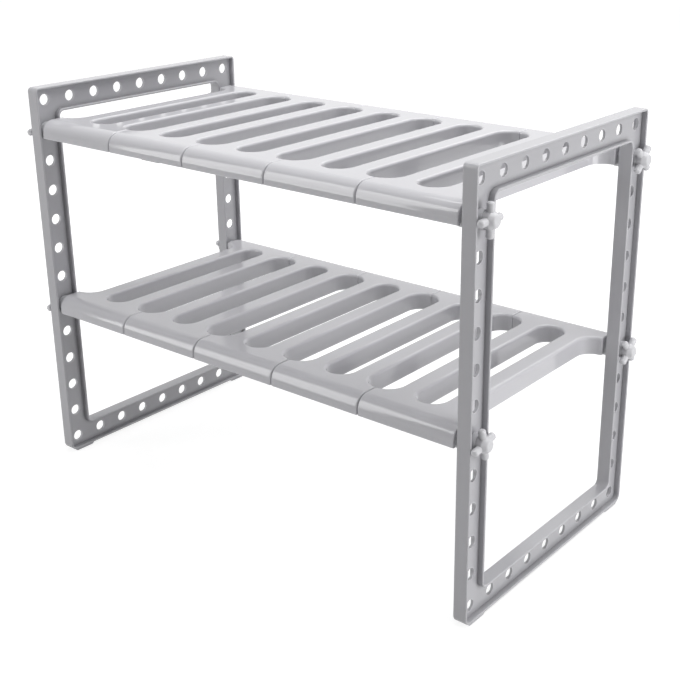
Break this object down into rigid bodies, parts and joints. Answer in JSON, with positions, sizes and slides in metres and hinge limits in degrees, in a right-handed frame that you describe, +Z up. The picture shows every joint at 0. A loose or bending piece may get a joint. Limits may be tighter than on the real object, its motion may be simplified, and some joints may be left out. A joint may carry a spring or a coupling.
{
  "type": "under sink organizer",
  "caption": "Tiered under sink rack that widens on telescoping tubes: slotted shelf panels hooked between upright side frames with rows of round holes, clamped by star knobs.",
  "frame": {"origin": "on the floor under the middle of the rack's width and depth", "axes": "+X along the width from the frame that holds the inner tubes to the one that holds the outer tubes, -Y to the front, +Z up"},
  "size_m": [0.5392, 0.2684, 0.3875],
  "materials": {
    "frame_plastic": "smooth moulded, satin gloss, light cool grey",
    "shelf_plastic": "smooth moulded, glossy, light cool grey",
    "knob_plastic": "smooth moulded, satin gloss, pale grey",
    "plug_plastic": "smooth moulded, satin, pale grey",
    "sleeve_plastic": "smooth moulded, satin, mid grey",
    "tube_steel": "thin grey coat on steel tube, satin",
    "screw_steel": "zinc plated, bright"
  },
  "bodies": {
    "left_side": {"left_frame": "frame_plastic", "upper_panel_1": "shelf_plastic", "upper_front_inner_tube": "tube_steel", "left_upper_front_plug": "plug_plastic", "upper_back_inner_tube": "tube_steel", "left_upper_back_plug": "plug_plastic", "lower_panel_1": "shelf_plastic", "lower_front_inner_tube": "tube_steel", "left_lower_front_plug": "plug_plastic", "lower_back_inner_tube": "tube_steel", "left_lower_back_plug": "plug_plastic"},
    "right_side": {"right_frame": "frame_plastic", "upper_panel_5": "shelf_plastic", "upper_front_outer_tube": "tube_steel", "upper_front_sleeve": "sleeve_plastic", "right_upper_front_plug": "plug_plastic", "upper_back_outer_tube": "tube_steel", "upper_back_sleeve": "sleeve_plastic", "right_upper_back_plug": "plug_plastic", "lower_panel_5": "shelf_plastic", "lower_front_outer_tube": "tube_steel", "lower_front_sleeve": "sleeve_plastic", "right_lower_front_plug": "plug_plastic", "lower_back_outer_tube": "tube_steel", "lower_back_sleeve": "sleeve_plastic", "right_lower_back_plug": "plug_plastic"},
    "upper_shelf_2": {"upper_panel_2": "shelf_plastic"},
    "upper_shelf_3": {"upper_panel_3": "shelf_plastic"},
    "upper_shelf_4": {"upper_panel_4": "shelf_plastic"},
    "lower_shelf_2": {"lower_panel_2": "shelf_plastic"},
    "lower_shelf_3": {"lower_panel_3": "shelf_plastic"},
    "lower_shelf_4": {"lower_panel_4": "shelf_plastic"},
    "left_upper_front_clamp": {"left_upper_front_knob": "knob_plastic", "left_upper_front_screw": "screw_steel"},
    "left_upper_back_clamp": {"left_upper_back_knob": "knob_plastic", "left_upper_back_screw": "screw_steel"},
    "left_lower_front_clamp": {"left_lower_front_knob": "knob_plastic", "left_lower_front_screw": "screw_steel"},
    "left_lower_back_clamp": {"left_lower_back_knob": "knob_plastic", "left_lower_back_screw": "screw_steel"},
    "right_upper_front_clamp": {"right_upper_front_knob": "knob_plastic", "right_upper_front_screw": "screw_steel"},
    "right_upper_back_clamp": {"right_upper_back_knob": "knob_plastic", "right_upper_back_screw": "screw_steel"},
    "right_lower_front_clamp": {"right_lower_front_knob": "knob_plastic", "right_lower_front_screw": "screw_steel"},
    "right_lower_back_clamp": {"right_lower_back_knob": "knob_plastic", "right_lower_back_screw": "screw_steel"}
  },
  "joints": [
    {"name": "width_extend", "type": "slide", "parent": "left_side", "child": "right_side", "axis": [1, 0, 0], "range_m": [0, 0.15]},
    {"name": "upper_shelf_2_slide", "type": "slide", "parent": "left_side", "child": "upper_shelf_2", "axis": [1, 0, 0], "range_m": [-0.0005, 0.038]},
    {"name": "upper_shelf_3_slide", "type": "slide", "parent": "left_side", "child": "upper_shelf_3", "axis": [1, 0, 0], "range_m": [-0.0005, 0.0755]},
    {"name": "upper_shelf_4_slide", "type": "slide", "parent": "left_side", "child": "upper_shelf_4", "axis": [1, 0, 0], "range_m": [-0.0005, 0.113]},
    {"name": "lower_shelf_2_slide", "type": "slide", "parent": "left_side", "child": "lower_shelf_2", "axis": [1, 0, 0], "range_m": [-0.0005, 0.038]},
    {"name": "lower_shelf_3_slide", "type": "slide", "parent": "left_side", "child": "lower_shelf_3", "axis": [1, 0, 0], "range_m": [-0.0005, 0.0755]},
    {"name": "lower_shelf_4_slide", "type": "slide", "parent": "left_side", "child": "lower_shelf_4", "axis": [1, 0, 0], "range_m": [-0.0005, 0.113]},
    {"name": "left_upper_front_knob_turn", "type": "hinge", "parent": "left_side", "child": "left_upper_front_clamp", "pos_m": [-0.2542, -0.12, 0.34475], "axis": [-1, 0, 0], "continuous": true},
    {"name": "left_upper_back_knob_turn", "type": "hinge", "parent": "left_side", "child": "left_upper_back_clamp", "pos_m": [-0.2542, 0.12, 0.34475], "axis": [-1, 0, 0], "continuous": true},
    {"name": "left_lower_front_knob_turn", "type": "hinge", "parent": "left_side", "child": "left_lower_front_clamp", "pos_m": [-0.2542, -0.12, 0.16475], "axis": [-1, 0, 0], "continuous": true},
    {"name": "left_lower_back_knob_turn", "type": "hinge", "parent": "left_side", "child": "left_lower_back_clamp", "pos_m": [-0.2542, 0.12, 0.16475], "axis": [-1, 0, 0], "continuous": true},
    {"name": "right_upper_front_knob_turn", "type": "hinge", "parent": "right_side", "child": "right_upper_front_clamp", "pos_m": [0.2542, -0.12, 0.34475], "axis": [1, 0, 0], "continuous": true},
    {"name": "right_upper_back_knob_turn", "type": "hinge", "parent": "right_side", "child": "right_upper_back_clamp", "pos_m": [0.2542, 0.12, 0.34475], "axis": [1, 0, 0], "continuous": true},
    {"name": "right_lower_front_knob_turn", "type": "hinge", "parent": "right_side", "child": "right_lower_front_clamp", "pos_m": [0.2542, -0.12, 0.16475], "axis": [1, 0, 0], "continuous": true},
    {"name": "right_lower_back_knob_turn", "type": "hinge", "parent": "right_side", "child": "right_lower_back_clamp", "pos_m": [0.2542, 0.12, 0.16475], "axis": [1, 0, 0], "continuous": true}
  ],
  "couplings": [
    {"joint": "upper_shelf_2_slide", "follows": "width_extend", "ratio": 0.25},
    {"joint": "upper_shelf_3_slide", "follows": "width_extend", "ratio": 0.5},
    {"joint": "upper_shelf_4_slide", "follows": "width_extend", "ratio": 0.75},
    {"joint": "lower_shelf_2_slide", "follows": "width_extend", "ratio": 0.25},
    {"joint": "lower_shelf_3_slide", "follows": "width_extend", "ratio": 0.5},
    {"joint": "lower_shelf_4_slide", "follows": "width_extend", "ratio": 0.75}
  ]
}
